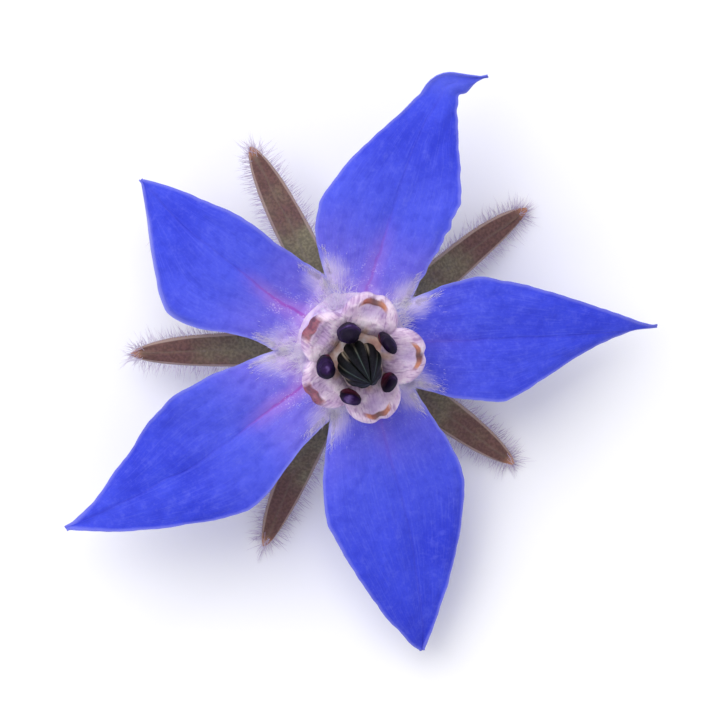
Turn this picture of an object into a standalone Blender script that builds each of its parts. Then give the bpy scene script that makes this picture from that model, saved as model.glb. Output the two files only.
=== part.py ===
"""Borage flower, picked with its stalk and lying face up.

Metres, +Z up. The origin is under the middle of the flower's outline, on the surface that it lies on.
The flower is modelled in a frame of its own, whose +Z is the flower's axis and whose zero is the
middle of the petals' foot. That frame leans, as the flower does, and the stalk bends from its axis
down to the surface. Three sepal tips and the stalk carry the flower.
"""

import math
from collections import namedtuple

import bmesh
import bpy
from mathutils import Matrix, Vector
from mathutils.geometry import interpolate_bezier

MM = 0.001

# How the flower stands over the surface
FOOT_HEIGHT = 4.7 * MM
LEAN = math.radians(13)
LEAN_TOWARD = math.radians(-60)

# The five-fold plan: petals at TURN and every fifth of a circle on, sepals and stamens between them
COUNT = 5
STEP = 2 * math.pi / COUNT
TURN = math.radians(2.6)

# Blades are thicker than the real ones, so that each is a sound solid
BLADE = 0.62 * MM
CLEAR = 0.3 * MM
TIP_HALF_WIDTH = 0.22 * MM

# Petals: each side has its half width, where along the petal it is reached, how fast it tapers from
# there to the tip, and how late it widens from the sinus. A petal has its reach, how far its tip sways
# to the left and how late, its sides, how far it arches and its tip droops, its twist and the height of
# its waves. Lengths are in millimetres.
PETAL_FOOT = 1.75 * MM
SINUS = 2.5 * MM
TAPER_START = 1.3
Side = namedtuple("Side", "width at taper growth")
Petal = namedtuple("Petal", "reach sway late left right arch droop twist wave")
PETALS = (
    Petal(12.3, 0.1, 2, Side(2.6, 5.3, 1.05, 1.0), Side(2.5, 6.0, 2.0, 1.0), 0.5, 0.2, 0.25, 0.16),
    Petal(12.1, -1.9, 6, Side(2.9, 5.2, 1.45, 1.0), Side(2.35, 6.6, 0.9, 1.5), 0.6, 0.6, -0.3, 0.2),
    Petal(10.5, -0.9, 2, Side(3.2, 6.7, 1.15, 3.0), Side(1.85, 6.2, 0.8, 1.0), 0.7, 1.3, -0.5, 0.14),
    Petal(13.4, -1.3, 2, Side(2.72, 7.2, 1.0, 3.0), Side(2.78, 6.9, 1.4, 1.0), 0.5, 0.5, 0.3, 0.2),
    Petal(12.8, -1.55, 2, Side(2.62, 6.6, 0.95, 1.5), Side(3.15, 6.2, 0.78, 1.0), 0.6, 0.3, -0.2, 0.16),
)
KEEL = 0.22 * MM
FLAT_FOOT = 2.5 * MM
WAVES = 1.15
WAVE_LAG = 1.1
PETAL_GRID = (20, 6)

# Sepals, from the one after the first petal on: the reach, the turn from the even plan in degrees, and
# the droop of the tip below the root, or None for a sepal whose tip carries the flower
Sepal = namedtuple("Sepal", "reach turn droop")
SEPALS = (
    Sepal(8.9, -7.0, None),
    Sepal(8.4, 6.0, 1.9),
    Sepal(8.5, 3.5, 2.2),
    Sepal(9.3, -4.0, None),
    Sepal(8.8, -4.5, None),
)
SEPAL_FOOT = 1.68 * MM
SEPAL_HEIGHT = -1.25 * MM
SEPAL_HALF_WIDTH = 0.72 * MM
SEPAL_TAPER = 1.7
SEPAL_BEND = 1.6
SEPAL_CHANNEL = 0.2 * MM
SEPAL_GRID = (14, 4)
TIP_HEIGHT = 0.27 * MM

# Throat: the cup that closes the short tube, as radius and height, and its five scales
CUP_OUTER = ((2.3, 1.42), (2.28, 1.1), (1.85, 0.7), (1.45, 0.62), (1.45, -0.55))
CUP_INNER = ((0.0, 0.62), (1.3, 0.66), (1.7, 1.0), (1.9, 1.5))
SCALE_ROOT = (1.95, 0.9)
SCALE_TIP = (2.7, 2.5)
SCALE_HALF_WIDTH = 1.15 * MM
SCALE_HALF_THICK = 0.33 * MM
SCALE_FACE = math.radians(62)
SCALE_HOLLOW = 0.35 * MM
SCALE_FLARE = 1.6
SCALE_NOTCH = 0.2
SCALE_NOTCH_WIDTH = 0.22
SCALE_SEGMENTS = (28, 8)
TURNED_STEPS = 40

# Stamens: a low ring of filaments with a horn on each, round the closed cone of anthers
RING = ((0.0, 1.4), (1.0, 1.4), (1.2, 1.25), (1.2, 0.95), (0.0, 0.95))
HORN_PATH = ((0.85, 1.15), (1.25, 1.6), (1.5, 2.2), (1.52, 3.0), (1.44, 3.6), (1.38, 4.05))
HORN_RADII = (0.34, 0.37, 0.36, 0.33, 0.23, 0.09)
HORN_BEVEL = 2
CONE_FOOT = 1.7 * MM
CONE_TOP = 6.7 * MM
CONE_RADIUS = 0.84 * MM
CONE_SWELL = 0.5
CONE_ROUND = 0.8
CONE_LOBE = 0.09
CONE_SEGMENTS = (40, 18)

# Stalk: its swollen head under the sepals, the bend, and the run along the surface
STALK_RADIUS = 0.55 * MM
STALK_HEAD = ((-0.85, 1.3), (-1.2, 1.32), (-1.6, 1.12), (-2.0, 0.8))
STALK_PRESS = 0.04 * MM
STALK_TOWARD = math.radians(140)
STALK_LAID_AT = 3.9 * MM
STALK_END_AT = 9.2 * MM
STALK_SWING = math.radians(7)
STALK_GRIP = 0.45
STALK_CELLS = (12, 8)
STALK_NARROWS = 0.4
STALK_BEVEL = 3
TABLE_SIDE = 60 * MM


def clear_scene():
    """Remove every object of the scene that the script starts in."""
    for obj in list(bpy.data.objects):
        bpy.data.objects.remove(obj, do_unlink=True)


def new_collection(name):
    """A new collection of the scene."""
    made = bpy.data.collections.new(name)
    bpy.context.scene.collection.children.link(made)
    return made


def material(name, colour, roughness, metallic=0.0):
    """A plain Principled material."""
    made = bpy.data.materials.new(name)
    made.use_nodes = True
    shader = made.node_tree.nodes["Principled BSDF"]
    shader.inputs["Base Color"].default_value = (*colour, 1.0)
    shader.inputs["Roughness"].default_value = roughness
    shader.inputs["Metallic"].default_value = metallic
    return made


def add(name, data, collection, parent=None):
    """A named object, in a collection and under its parent."""
    obj = bpy.data.objects.new(name, data)
    collection.objects.link(obj)
    obj.parent = parent
    return obj


def mesh_of(name, bm):
    """A mesh from a bmesh, which it frees."""
    mesh = bpy.data.meshes.new(name)
    bm.to_mesh(mesh)
    bm.free()
    return mesh


def smoothly(share):
    """Nought to one, level at both ends."""
    share = min(max(share, 0.0), 1.0)
    return share * share * (3 - 2 * share)


def blade_mesh(name, cells, surface):
    """An open blade: surface(along, across) gives the point at 0 to 1 along and -1 to 1 across."""
    bm = bmesh.new()
    bmesh.ops.create_grid(bm, x_segments=cells[0], y_segments=cells[1], size=0.5)
    for vert in bm.verts:
        vert.co = surface(vert.co.x + 0.5, vert.co.y * 2)
    bmesh.ops.triangulate(bm, faces=bm.faces[:])
    return mesh_of(name, bm)


def thicken(obj):
    """Give an open blade its thickness, half on each side."""
    solid = obj.modifiers.new("thickness", "SOLIDIFY")
    solid.thickness = BLADE
    solid.offset = 0.0
    obj.data.shade_smooth()


def turned(name, profile, collection):
    """A turned solid from radii and heights in millimetres, given from the axis at the top, round the
    outer side, to the axis below."""
    bm = bmesh.new()
    points = [bm.verts.new((r * MM, 0, z * MM)) for r, z in profile]
    for upper, lower in zip(points, points[1:]):
        bm.edges.new((upper, lower))
    obj = add(name, mesh_of(name, bm), collection)
    screw = obj.modifiers.new("turn", "SCREW")
    screw.steps = screw.render_steps = TURNED_STEPS
    screw.use_merge_vertices = True
    screw.merge_threshold = 0.001 * MM
    return obj


def tube(name, points, radii, collection, bevel_resolution):
    """A tube with closed ends through points, as a mesh; the radii are those at the points."""
    curve = bpy.data.curves.new(name, "CURVE")
    curve.dimensions = "3D"
    curve.bevel_depth = 1.0
    curve.bevel_resolution = bevel_resolution
    curve.use_fill_caps = True
    spline = curve.splines.new("POLY")
    spline.points.add(len(points) - 1)
    for knot, point, radius in zip(spline.points, points, radii):
        knot.co = (*point, 1.0)
        knot.radius = radius
    rod = add(name + "_path", curve, collection)
    bpy.context.view_layer.update()
    mesh = bpy.data.meshes.new_from_object(rod.evaluated_get(bpy.context.evaluated_depsgraph_get()))
    bm = bmesh.new()
    bm.from_mesh(mesh)
    bmesh.ops.remove_doubles(bm, verts=bm.verts[:], dist=0.001 * MM)
    bm.to_mesh(mesh)
    bm.free()
    bpy.data.objects.remove(rod, do_unlink=True)
    return add(name, mesh, collection)


def fuse(body, pieces):
    """Join pieces to a body with one Boolean union, and remove them."""
    joined = new_collection("joined_to_" + body.name)
    for piece in pieces:
        joined.objects.link(piece)
    union = body.modifiers.new("union", "BOOLEAN")
    union.operation = "UNION"
    union.operand_type = "COLLECTION"
    union.collection = joined
    union.solver = "EXACT"
    bpy.context.view_layer.update()
    mesh = bpy.data.meshes.new_from_object(body.evaluated_get(bpy.context.evaluated_depsgraph_get()))
    body.modifiers.clear()
    body.data = mesh
    for piece in pieces:
        bpy.data.objects.remove(piece, do_unlink=True)
    bpy.data.collections.remove(joined)


def trim_to_table(obj, table):
    """Press a small flat where an object meets the surface."""
    cut = obj.modifiers.new("flat", "BOOLEAN")
    cut.operation = "DIFFERENCE"
    cut.object = table
    cut.solver = "EXACT"


def side_width(side, along, reach):
    """A petal's half width on one side, at a distance along it."""
    if along <= SINUS:
        return along * math.tan(STEP / 2) - CLEAR / 2
    at_sinus = SINUS * math.tan(STEP / 2) - CLEAR / 2
    widest = side.width * MM
    where = side.at * MM
    if along <= where:
        grown = math.sin(math.pi / 2 * (along - SINUS) / (where - SINUS)) ** side.growth
        return at_sinus + (widest - at_sinus) * grown
    past = (along - where) / (reach - where)
    return max(widest * max(1 - past**TAPER_START, 0) ** side.taper, TIP_HALF_WIDTH)


def petal_surface(petal):
    """The middle surface of a petal that lies along +X."""
    reach = petal.reach * MM

    def point(share, across):
        along = PETAL_FOOT + (reach - PETAL_FOOT) * share
        out = max(along - SINUS, 0) / (reach - SINUS)
        side = petal.left if across > 0 else petal.right
        width = side_width(side, along, reach)
        free = smoothly((along - PETAL_FOOT) / FLAT_FOOT)
        lift = petal.arch * MM * math.sin(math.pi * out)
        lift -= petal.droop * MM * out**2
        lift -= KEEL * (1 - abs(across)) ** 2 * free * (1 - out)
        lift += petal.twist * width * across * out
        wave = math.sin(2 * math.pi * WAVES * out + WAVE_LAG * across)
        lift += petal.wave * MM * across**2 * wave * free
        return Vector((along, petal.sway * MM * out**petal.late + across * width, lift))

    return point


def add_petals(flower, collection):
    """Five petals, each with its own reach, widths and bend."""
    blue = material("petal_blue", (0.08, 0.1, 0.75), 0.5)
    for index, petal in enumerate(PETALS):
        name = f"petal_{index + 1}"
        obj = add(name, blade_mesh(name, PETAL_GRID, petal_surface(petal)), collection, flower)
        obj.rotation_euler.z = TURN + index * STEP
        obj.data.materials.append(blue)
        thicken(obj)


def tip_drop(sepal, turn):
    """How far below its root the tip of a sepal lies, so that it reaches the surface."""
    if sepal.droop is not None:
        return sepal.droop * MM
    leaning = sepal.reach * MM * math.sin(LEAN) * math.cos(turn - LEAN_TOWARD)
    tip = (TIP_HEIGHT - FOOT_HEIGHT + leaning) / math.cos(LEAN)
    return SEPAL_HEIGHT - tip


def sepal_surface(sepal, drop):
    """The middle surface of a sepal that lies along +X: narrow, channelled and bent down."""
    reach = sepal.reach * MM

    def point(share, across):
        taper = math.cos(math.pi / 2 * share**SEPAL_TAPER)
        width = SEPAL_HALF_WIDTH * taper + TIP_HALF_WIDTH * share
        lift = SEPAL_HEIGHT - drop * math.sin(math.pi / 2 * share) ** SEPAL_BEND
        lift += SEPAL_CHANNEL * across**2 * math.sin(math.pi * share)
        return Vector((SEPAL_FOOT + (reach - SEPAL_FOOT) * share, across * width, lift))

    return point


def add_sepals(flower, collection, table):
    """Five narrow sepals under the gaps between the petals."""
    brown = material("sepal_brown", (0.15, 0.09, 0.08), 0.75)
    for index, sepal in enumerate(SEPALS):
        name = f"sepal_{index + 1}"
        turn = TURN + (index + 0.5) * STEP + math.radians(sepal.turn)
        surface = sepal_surface(sepal, tip_drop(sepal, turn))
        obj = add(name, blade_mesh(name, SEPAL_GRID, surface), collection, flower)
        obj.rotation_euler.z = turn
        obj.data.materials.append(brown)
        thicken(obj)
        if sepal.droop is None:
            trim_to_table(obj, table)


def scale_mesh():
    """One throat scale along +X: a rounded lobe, hollow towards the axis, notched at its rim."""
    root, tip = SCALE_ROOT, SCALE_TIP
    inward = Vector((-math.sin(SCALE_FACE), 0, math.cos(SCALE_FACE)))
    bm = bmesh.new()
    bmesh.ops.create_uvsphere(bm, u_segments=SCALE_SEGMENTS[0], v_segments=SCALE_SEGMENTS[1], radius=1.0)
    for vert in bm.verts:
        along, across, through = vert.co
        share = (along + 1) / 2
        share -= SCALE_NOTCH * math.exp(-((across / SCALE_NOTCH_WIDTH) ** 2)) * share**3
        radius = root[0] + (tip[0] - root[0]) * share**SCALE_FLARE
        height = root[1] + (tip[1] - root[1]) * math.sin(math.pi / 2 * share)
        middle = Vector((radius * MM, across * SCALE_HALF_WIDTH, height * MM))
        vert.co = middle + inward * (SCALE_HALF_THICK * through + SCALE_HOLLOW * across**2)
    return mesh_of("scale", bm)


def add_throat(flower, collection):
    """The white throat: a solid tube end that opens in a cup, with five scales on its rim."""
    cup = turned("throat", CUP_INNER + CUP_OUTER + ((0.0, CUP_OUTER[-1][1]),), collection)
    scales = []
    for index in range(COUNT):
        scale = add(f"scale_{index + 1}", scale_mesh(), collection)
        scale.rotation_euler.z = TURN + index * STEP
        scales.append(scale)
    fuse(cup, scales)
    cup.data.materials.clear()
    cup.data.materials.append(material("throat_white", (0.75, 0.68, 0.78), 0.6))
    cup.parent = flower


def add_horns(flower, collection):
    """The ring of filaments with its five upright horns."""
    ring = turned("stamen_horns", RING, collection)
    horns = []
    for index in range(COUNT):
        turn = Matrix.Rotation(TURN + (index + 0.5) * STEP, 4, "Z")
        path = [turn @ Vector((r * MM, 0, z * MM)) for r, z in HORN_PATH]
        radii = [radius * MM for radius in HORN_RADII]
        horns.append(tube(f"horn_{index + 1}", path, radii, collection, HORN_BEVEL))
    fuse(ring, horns)
    ring.data.materials.clear()
    ring.data.materials.append(material("horn_violet", (0.05, 0.012, 0.08), 0.4))
    ring.parent = flower


def add_anthers(flower, collection):
    """The anthers, closed round the style in one five-lobed cone."""
    bm = bmesh.new()
    around, up = CONE_SEGMENTS
    bmesh.ops.create_uvsphere(bm, u_segments=around, v_segments=up, radius=1.0)
    for vert in bm.verts:
        share = (vert.co.z + 1) / 2
        turn = math.atan2(vert.co.y, vert.co.x)
        lobes = 1 + CONE_LOBE * math.cos(COUNT * (turn - TURN - STEP / 2)) * (1 - share)
        swell = max(math.sin(math.pi * share**CONE_SWELL), 0) ** CONE_ROUND
        radius = CONE_RADIUS * swell * lobes
        height = CONE_FOOT + (CONE_TOP - CONE_FOOT) * share
        vert.co = Vector((radius * math.cos(turn), radius * math.sin(turn), height))
    obj = add("anther_cone", mesh_of("anther_cone", bm), collection, flower)
    obj.data.materials.append(material("anther_black", (0.02, 0.025, 0.022), 0.45))
    obj.data.shade_smooth()


def stalk_route(flower):
    """Points and radii down the stalk: from its head, round the bend and along the surface."""
    frame = flower.matrix_world
    height = STALK_RADIUS - STALK_PRESS
    head = [frame @ Vector((0, 0, z * MM)) for z, _ in STALK_HEAD]
    down = frame.to_3x3() @ Vector((0, 0, -1))
    out = Vector((math.cos(STALK_TOWARD), math.sin(STALK_TOWARD), 0))
    end_out = Matrix.Rotation(STALK_SWING, 3, "Z") @ out
    laid = out * STALK_LAID_AT + Vector((0, 0, height))
    end = end_out * STALK_END_AT + Vector((0, 0, height))
    grip = STALK_LAID_AT * STALK_GRIP
    bend = interpolate_bezier(head[-1], head[-1] + down * grip, laid - out * grip, laid, STALK_CELLS[0])
    run = interpolate_bezier(laid, laid + out * grip, end - end_out * grip, end, STALK_CELLS[1])
    points = head + bend[1:] + run[1:]
    radii = [radius * MM for _, radius in STALK_HEAD]
    while len(radii) < len(points):
        radii.append(STALK_RADIUS + (radii[-1] - STALK_RADIUS) * STALK_NARROWS)
    return points, radii


def add_stalk(flower, collection, table):
    """The stalk and its swollen head, grown as one, with a flat pressed where it lies."""
    points, radii = stalk_route(flower)
    stalk = tube("pedicel", points, radii, collection, STALK_BEVEL)
    stalk.data.materials.append(material("pedicel_maroon", (0.2, 0.08, 0.11), 0.7))
    stalk.data.shade_smooth()
    trim_to_table(stalk, table)
    return stalk


def add_table(cutters):
    """The cutter for the flats: a block whose top is the surface that the flower lies on."""
    bm = bmesh.new()
    bmesh.ops.create_cube(bm, size=TABLE_SIDE)
    bmesh.ops.translate(bm, verts=bm.verts, vec=(0, 0, -TABLE_SIDE / 2))
    table = add("table_cutter", mesh_of("table_cutter", bm), cutters)
    table.hide_render = True
    table.display_type = "WIRE"
    return table


def centre_outline(collection, holder):
    """Bring the middle of the outline, seen from above, over the origin."""
    bpy.context.view_layer.update()
    depsgraph = bpy.context.evaluated_depsgraph_get()
    corners = []
    for obj in collection.objects:
        if obj.type == "MESH":
            shown = obj.evaluated_get(depsgraph)
            corners += [shown.matrix_world @ vert.co for vert in shown.data.vertices]
    for axis in (0, 1):
        values = [corner[axis] for corner in corners]
        holder.location[axis] = -(min(values) + max(values)) / 2


def build_flower():
    """Build the flower in its leaning frame, and the stalk below it."""
    clear_scene()
    parts = new_collection("borage_flower")
    cutters = new_collection("cutters")
    table = add_table(cutters)
    holder = add("flower_holder", None, parts)
    flower = add("flower_frame", None, parts, holder)
    lean_axis = Vector((-math.sin(LEAN_TOWARD), math.cos(LEAN_TOWARD), 0))
    flower.rotation_euler = Matrix.Rotation(LEAN, 3, lean_axis).to_euler()
    flower.location.z = FOOT_HEIGHT
    bpy.context.view_layer.update()
    add_petals(flower, parts)
    add_sepals(flower, parts, table)
    add_throat(flower, parts)
    add_horns(flower, parts)
    add_anthers(flower, parts)
    stalk = add_stalk(flower, parts, table)
    stalk.parent = holder
    centre_outline(parts, holder)


build_flower()
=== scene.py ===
"""Looks of the borage flower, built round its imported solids.

A flower piece is modelled in millimetres in the flower's own frame: +Z is its axis, zero is the middle
of the petals' foot, and the first petal points along +X but for a small turn. The stalk is modelled in
millimetres over the surface that the flower lies on.
"""

import math
import random
from collections import namedtuple

import bmesh
import bpy
from mathutils import Matrix, Vector, noise
from mathutils.bvhtree import BVHTree
from mathutils.geometry import barycentric_transform, interpolate_bezier


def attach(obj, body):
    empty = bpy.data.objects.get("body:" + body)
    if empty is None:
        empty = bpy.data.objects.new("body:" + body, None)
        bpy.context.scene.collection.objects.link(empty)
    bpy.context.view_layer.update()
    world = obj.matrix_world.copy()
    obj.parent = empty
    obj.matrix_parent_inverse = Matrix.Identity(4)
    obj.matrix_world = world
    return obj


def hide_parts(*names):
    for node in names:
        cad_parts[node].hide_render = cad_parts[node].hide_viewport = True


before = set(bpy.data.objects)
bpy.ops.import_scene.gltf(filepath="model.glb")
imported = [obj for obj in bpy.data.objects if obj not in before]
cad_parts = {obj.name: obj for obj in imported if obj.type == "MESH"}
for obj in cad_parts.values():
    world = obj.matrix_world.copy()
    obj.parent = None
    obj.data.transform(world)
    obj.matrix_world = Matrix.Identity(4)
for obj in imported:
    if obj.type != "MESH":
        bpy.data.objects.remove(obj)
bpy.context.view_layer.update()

# The surface, the light and the camera
# A plain pale table under a large soft lamp and an even sky, seen from straight above as in the
# photograph. The view is as wide as the flower and a margin, so the flower is larger than there.
MM = 0.001
VIEW_WIDTH = 28.5 * MM
LENS = 300
SENSOR = 36
VIEW_LEVEL = 5 * MM
VIEW_NEAREST = 10 * MM
CAMERA_HEIGHT = VIEW_WIDTH * LENS / SENSOR + VIEW_LEVEL
TABLE_SIZE = 1.2
LAMP_SIZE = 0.2
LAMP_PLACE = Vector((-0.08, 0.1, 0.21))
LAMP_POWER = 0.4
SKY = (0.95, 0.95, 1.0, 1.0)
SKY_STRENGTH = 0.7


def srgb(red, green, blue):
    """The linear colour that a shader takes, from one as it looks on the screen, 0 to 255."""
    parts = [value / 255 for value in (red, green, blue)]
    return (*((part / 12.92 if part <= 0.04045 else ((part + 0.055) / 1.055) ** 2.4) for part in parts), 1.0)


class Wire:
    """A socket's value that varies over a surface. Sums, products and powers of it add Math nodes."""

    def __init__(self, finish, socket):
        self.finish = finish
        self.socket = socket

    def math(self, operation, *values):
        return self.finish.node("ShaderNodeMath", {"operation": operation}, dict(enumerate(values)))

    def __add__(self, other):
        return self.math("ADD", self, other)

    def __sub__(self, other):
        return self.math("SUBTRACT", self, other)

    def __rsub__(self, other):
        return self.math("SUBTRACT", other, self)

    def __mul__(self, other):
        return self.math("MULTIPLY", self, other)

    def __pow__(self, other):
        return self.math("POWER", self, other)

    def __abs__(self):
        return self.math("ABSOLUTE", self)

    __radd__ = __add__
    __rmul__ = __mul__


class Finish:
    """A procedural material: a Principled shader, and the nodes that vary it over the surface."""

    def __init__(self, name, **constants):
        self.material = bpy.data.materials.new(name)
        self.material.use_nodes = True
        self.tree = self.material.node_tree
        self.shader = self.tree.nodes["Principled BSDF"]
        for socket, value in constants.items():
            self.shader.inputs[socket.replace("_", " ").title().replace("Ior", "IOR")].default_value = value
        self.place = self.node("ShaderNodeTexCoord", {}, {}, "Object")

    def node(self, kind, settings, sockets, out=0):
        """A node of a kind, with its settings and its sockets' values or links; gives one output."""
        made = self.tree.nodes.new(kind)
        for key, value in settings.items():
            setattr(made, key, value)
        for key, value in sockets.items():
            if isinstance(value, Wire):
                self.tree.links.new(value.socket, made.inputs[key])
            else:
                made.inputs[key].default_value = value
        return Wire(self, made.outputs[out])

    def feed(self, socket, wire):
        """Link a value to a socket of the shader."""
        self.tree.links.new(wire.socket, self.shader.inputs[socket])

    def attribute(self, name, out="Fac"):
        """A value that the mesh carries."""
        return self.node("ShaderNodeAttribute", {"attribute_name": name}, {}, out)

    def parts(self, vector):
        """The three numbers of a vector."""
        split = self.node("ShaderNodeSeparateXYZ", {}, {0: vector})
        return [Wire(self, output) for output in split.socket.node.outputs]

    def joined(self, *values):
        """A vector from its numbers."""
        return self.node("ShaderNodeCombineXYZ", {}, dict(enumerate(values)))

    def step(self, value, low, high):
        """Nought at low and one at high, level at both ends."""
        return self.node(
            "ShaderNodeMapRange", {"interpolation_type": "SMOOTHSTEP"}, {0: value, 1: low, 2: high}
        )

    def noise(self, vector, stretch, detail=2.0):
        """Cloudy noise from 0 to 1, with this many lumps to the unit along each axis."""
        spread = self.node("ShaderNodeVectorMath", {"operation": "MULTIPLY"}, {0: vector, 1: stretch})
        return self.node("ShaderNodeTexNoise", {}, {"Vector": spread, "Scale": 1.0, "Detail": detail})

    def lumps(self, count, detail=2.0):
        """Cloudy noise with this many lumps to a metre of the piece."""
        return self.noise(self.place, (count, count, count), detail)

    def mix(self, share, first, second):
        """One colour laid over another by a share. A plain colour is given as it looks, 0 to 255."""
        first, second = (tone if isinstance(tone, Wire) else srgb(*tone) for tone in (first, second))
        return self.node("ShaderNodeMix", {"data_type": "RGBA"}, {0: share, 6: first, 7: second}, 2)

    def fade(self, value, low, high, first, second):
        """The first colour, which gives way to the second as a value goes from low to high."""
        return self.mix(self.step(value, low, high), first, second)

    def coats(self, colour, *laid):
        """A colour with others laid over it in turn, each by its share."""
        for share, over in laid:
            colour = self.mix(share, colour, over)
        return colour

    def bump(self, height, distance, strength=1.0):
        """Relief of a height from 0 to 1 over a distance, for the shader's normal."""
        relief = {"Strength": strength, "Distance": distance, "Height": height}
        self.feed("Normal", self.node("ShaderNodeBump", {}, relief))


def settle(name, bm, place, finishes, modifiers=(), body=None):
    """A piece from a bmesh in millimetres: its modifiers are applied, and it goes to its place.

    body gives each vertex's share of the thickness, for a piece whose edges are thinner."""
    mesh = bpy.data.meshes.new(name)
    bm.to_mesh(mesh)
    bm.free()
    piece = bpy.data.objects.new(name, mesh)
    bpy.context.scene.collection.objects.link(piece)
    if body:
        group = piece.vertex_groups.new(name="body")
        for index, share in enumerate(body):
            group.add([index], share, "REPLACE")
    for kind, settings in modifiers:
        modifier = piece.modifiers.new(kind.lower(), kind)
        for key, value in settings.items():
            setattr(modifier, key, value)
    if modifiers:
        graph = bpy.context.evaluated_depsgraph_get()
        shown = piece.evaluated_get(graph)
        piece.data = bpy.data.meshes.new_from_object(shown, preserve_all_data_layers=True, depsgraph=graph)
        piece.modifiers.clear()
        piece.vertex_groups.clear()
    piece.data.transform(place @ Matrix.Scale(MM, 4))
    piece.data.shade_smooth()
    for finish in finishes:
        piece.data.materials.append(finish)
    return piece


table_top = bmesh.new()
bmesh.ops.create_grid(table_top, x_segments=2, y_segments=2, size=TABLE_SIZE / 2 / MM)
paper = Finish("pale_table", roughness=0.8)
paper.feed("Base Color", paper.mix(paper.lumps(40), (252, 252, 253), (254, 254, 255)))
table = settle("table", table_top, Matrix.Identity(4), [paper.material])

lamp_data = bpy.data.lights.new("soft_lamp", "AREA")
lamp_data.size = LAMP_SIZE
lamp_data.energy = LAMP_POWER
lamp = bpy.data.objects.new("soft_lamp", lamp_data)
lamp.location = LAMP_PLACE
lamp.rotation_euler = LAMP_PLACE.to_track_quat("Z", "Y").to_euler()
bpy.context.scene.collection.objects.link(lamp)

sky = bpy.data.worlds.new("even_sky")
sky.use_nodes = True
backdrop = sky.node_tree.nodes["Background"]
backdrop.inputs["Color"].default_value = SKY
backdrop.inputs["Strength"].default_value = SKY_STRENGTH
bpy.context.scene.world = sky

camera_data = bpy.data.cameras.new("camera")
camera_data.lens = LENS
camera_data.sensor_width = SENSOR
camera_data.clip_start = VIEW_NEAREST
camera = bpy.data.objects.new("camera", camera_data)
camera.location = (0, 0, CAMERA_HEIGHT)
bpy.context.scene.collection.objects.link(camera)
bpy.context.scene.camera = camera
bpy.context.scene.view_settings.view_transform = "Standard"


# Petals
# Five soft blue blades, thin as paper, that grow from the throat's mouth, each with its own sides, arch
# and twist. The second one's tip is folded over, and the third one's end is tucked under at a crease.
COUNT = 5
STEP = 2 * math.pi / COUNT
TURN = math.radians(2.6)
LEAN = math.radians(13)
LEAN_TOWARD = math.radians(-60)
TUBE_FOOT = -0.55
Side = namedtuple("Side", "width at taper growth")
Petal = namedtuple("Petal", "reach sway late left right arch droop twist wave rosy light tuck fold")
Fold = namedtuple("Fold", "along across turn rise")
TIP_FOLD = Fold(10.55, -1.3, math.radians(-50), 0.5)
PETALS = (
    Petal(12.3, 0.1, 2, Side(2.6, 5.3, 1.05, 1.0), Side(2.5, 6.0, 2.0, 1.0),
          0.5, 0.2, 0.25, 0.16, 0.1, 0.0, 0.0, None),
    Petal(12.1, -1.0, 3, Side(2.9, 5.2, 1.25, 1.0), Side(2.35, 6.6, 1.1, 1.5),
          0.6, 0.6, -0.3, 0.2, 0.5, 0.6, 0.0, TIP_FOLD),
    Petal(10.5, -0.9, 2, Side(3.2, 6.7, 1.15, 3.0), Side(1.85, 6.2, 0.8, 1.0),
          0.7, 1.3, -0.5, 0.14, 1.0, 0.6, 0.45, None),
    Petal(13.4, -1.3, 2, Side(2.72, 7.2, 1.0, 3.0), Side(2.78, 6.9, 1.4, 1.0),
          0.5, 0.5, 0.3, 0.2, 1.0, 0.8, 0.0, None),
    Petal(12.8, -1.55, 2, Side(2.62, 6.6, 0.95, 1.5), Side(3.15, 6.2, 0.78, 1.0),
          0.6, 0.3, -0.2, 0.16, 0.2, 0.3, 0.0, None),
)
PETAL_FOOT = 1.75
PETAL_ROOT = 1.5
SINUS = 2.5
TAPER_START = 1.3
TIP_HALF_WIDTH = 0.07
KEEL = 0.22
FLAT_FOOT = 2.5
WAVES = 1.15
WAVE_LAG = 1.1
PETAL_CELLS = (150, 64)
PETAL_THICK = 0.24
PETAL_RIM = 0.5
RIM_SHARE = 0.25
RAGGED = ((0.07, 0.9), (0.025, 2.9))
FOLDED_RAGGED = 2.2
CREASE = 0.05
CREASE_WIDTH = 0.25
CREASE_FADE = 0.6
PUCKERS = ((0.14, 0.5, 0.9, 0), (0.042, 1.2, 3.0, 3))
TUCK_FROM = (5.2, 0.82)
TUCK_RUN = (1.5, 0.18)
FOLD_SLANT = 0.12
FOLD_RUN = 0.5
FOLD_SINK = 0.12
FLAP_START = 0.2
FLAP_LENGTH = 2.2


def flower_frame():
    """The flower's lean, and its place on the table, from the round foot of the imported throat."""
    lean = Matrix.Rotation(LEAN, 4, Vector((-math.sin(LEAN_TOWARD), math.cos(LEAN_TOWARD), 0)))
    level = lean.inverted()
    points = [level @ vert.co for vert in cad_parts["throat"].data.vertices]
    lowest = min(point.z for point in points)
    ring = {tuple(round(part, 6) for part in point) for point in points if point.z < lowest + 0.01 * MM}
    foot = sum((Vector(point) for point in ring), Vector()) / len(ring) - Vector((0, 0, TUBE_FOOT * MM))
    return Matrix.Translation(lean @ foot) @ lean


FLOWER = flower_frame()


def smoothly(share):
    """Nought to one, level at both ends."""
    share = min(max(share, 0.0), 1.0)
    return share * share * (3 - 2 * share)


def around(index):
    """The turn of the petal, scale or anther of this number about the flower's axis."""
    return TURN + index * STEP


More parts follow.
